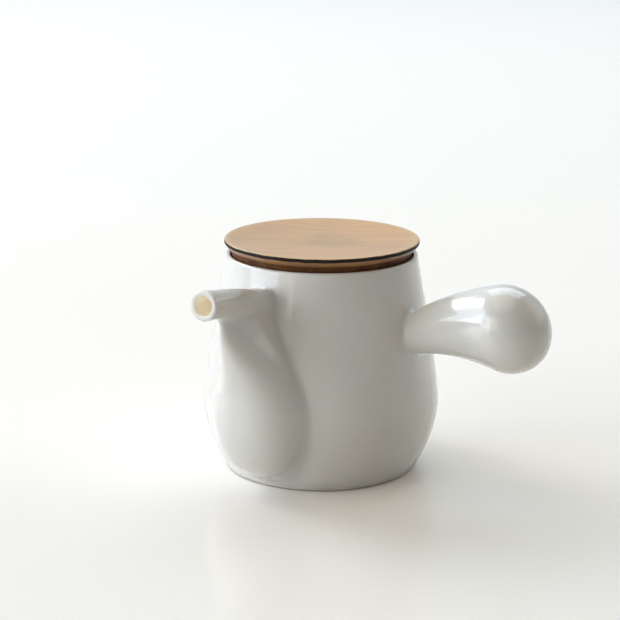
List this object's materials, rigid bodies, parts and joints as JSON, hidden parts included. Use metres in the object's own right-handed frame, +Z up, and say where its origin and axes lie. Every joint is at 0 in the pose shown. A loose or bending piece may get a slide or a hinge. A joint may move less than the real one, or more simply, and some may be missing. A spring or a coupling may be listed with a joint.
{
  "type": "side-handled teapot",
  "caption": "Side-handled teapot in white glazed porcelain with a pouch-shaped spout, a hollow ball-ended handle and a lift-off turned wooden lid.",
  "frame": {"origin": "on the pot's vertical axis, in the plane that the foot ring stands on, 0.9 mm below the middle of the recessed base face", "axes": "+Z up along the pot's axis, -Y along the spout, +X along the handle"},
  "size_m": [0.1612, 0.1415, 0.1019],
  "materials": {
    "porcelain": "glossy clear glaze over white porcelain",
    "lid_wood": "turned, wiped lacquer with a satin sheen",
    "dark_wood": "dark red-brown wiped lacquer"
  },
  "bodies": {
    "pot": {"pot_body": "porcelain", "spout": "porcelain", "handle": "porcelain", "spout_strainer": "porcelain"},
    "lid": {"lid_plate": "lid_wood", "lid_plug": "dark_wood"}
  },
  "joints": [
    {"name": "lid_lift", "type": "slide", "parent": "pot", "child": "lid", "axis": [0, 0, 1], "range_m": [0, 0.06]}
  ]
}
